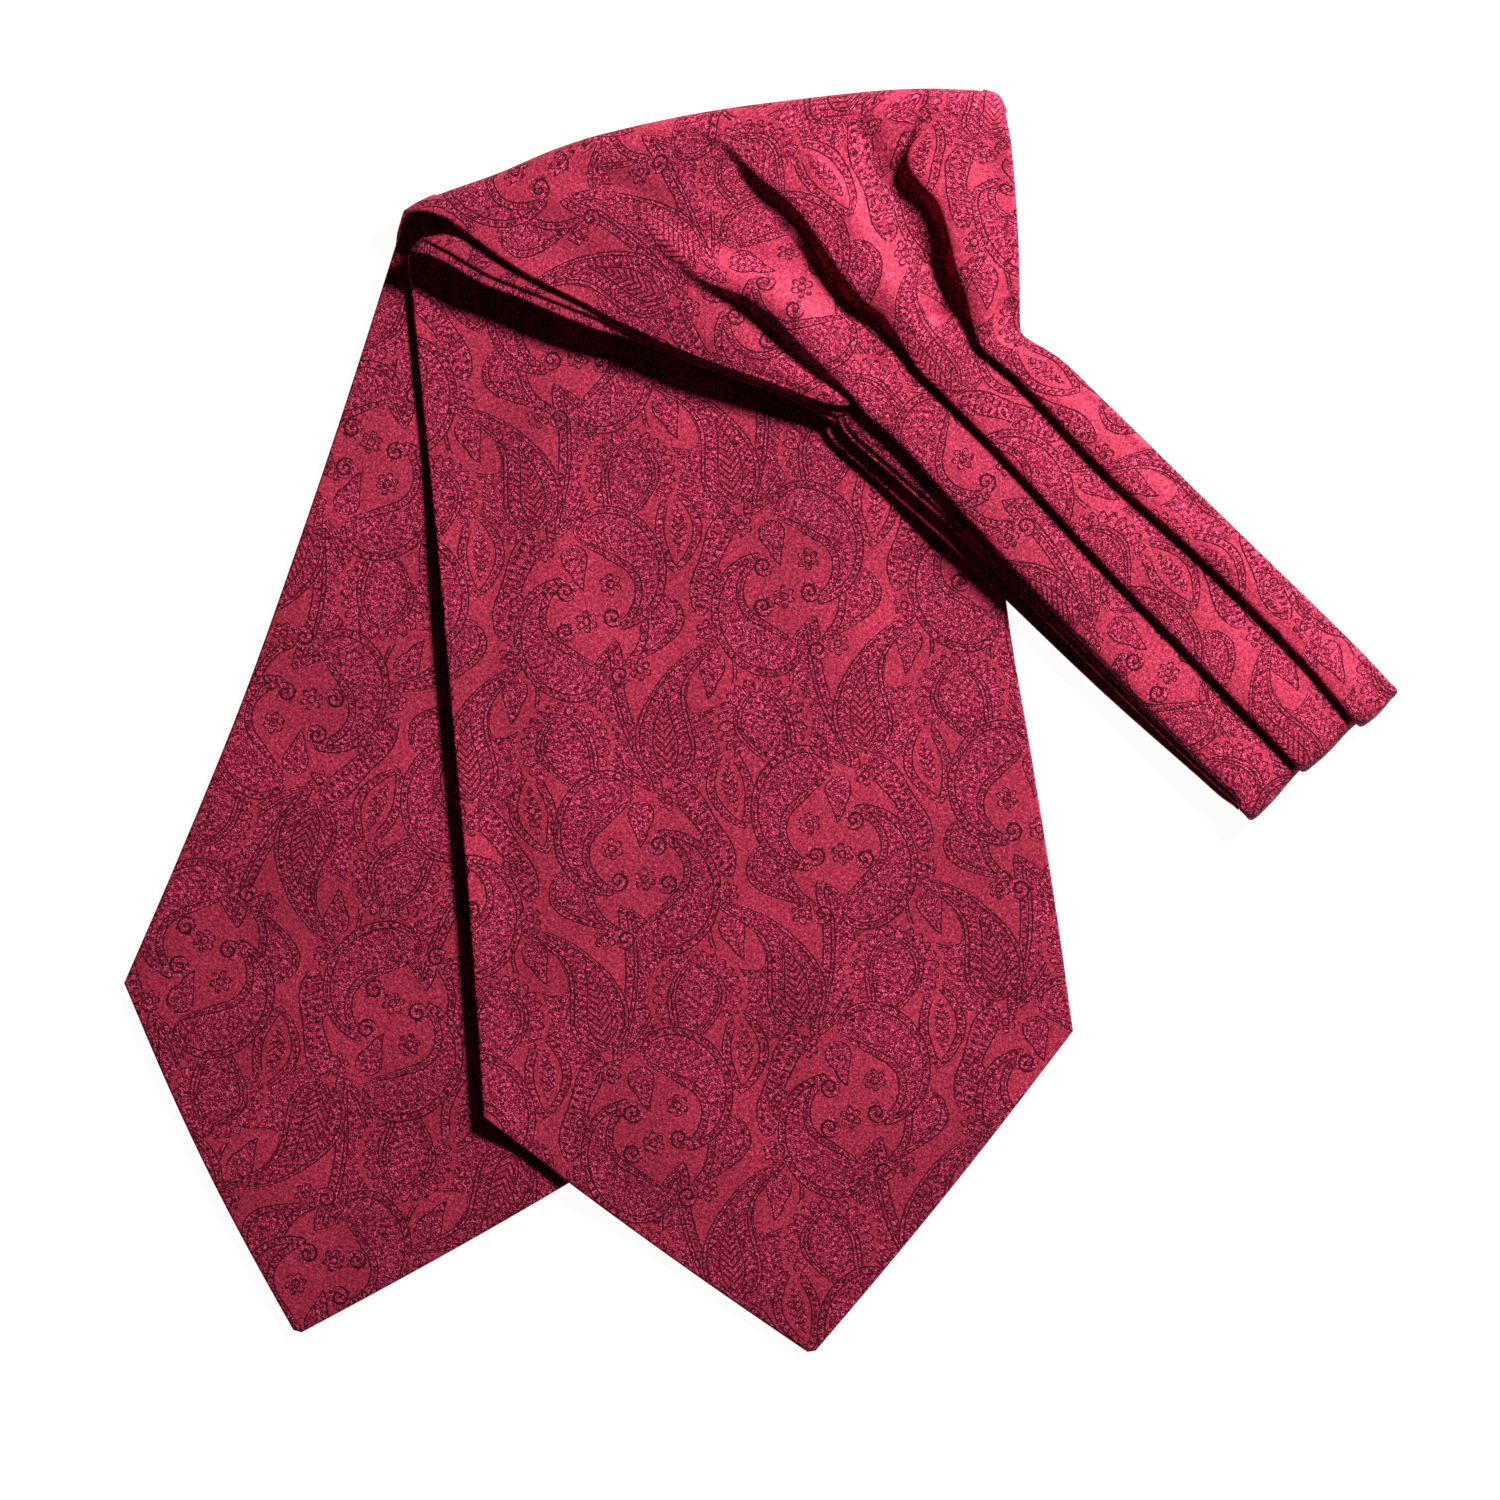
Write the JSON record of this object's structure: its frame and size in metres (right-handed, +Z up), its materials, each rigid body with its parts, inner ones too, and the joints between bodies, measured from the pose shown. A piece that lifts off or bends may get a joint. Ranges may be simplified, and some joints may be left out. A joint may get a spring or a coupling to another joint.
{
  "type": "silk cravat",
  "caption": "Silk cravat with two pointed blades and a pleated neckband, folded in half and laid flat.",
  "frame": {"origin": "middle of the folded cravat's outline, on the surface that it lies on", "axes": "+Z up off the surface; +Y towards the top turn, away from the blades' points; +X towards the neckband's end"},
  "size_m": [0.3401, 0.3378, 0.0139],
  "materials": {
    "blade_silk": "woven silk jacquard with a soft sheen",
    "fan_silk": "woven silk jacquard with a soft sheen",
    "band_silk": "woven silk jacquard with a soft sheen"
  },
  "bodies": {
    "root": {"back_blade": "blade_silk", "front_blade": "blade_silk", "outer_fan": "fan_silk", "inner_fan": "fan_silk", "pleat_1": "band_silk", "pleat_2": "band_silk", "pleat_3": "band_silk", "lower_band": "band_silk"}
  },
  "joints": []
}
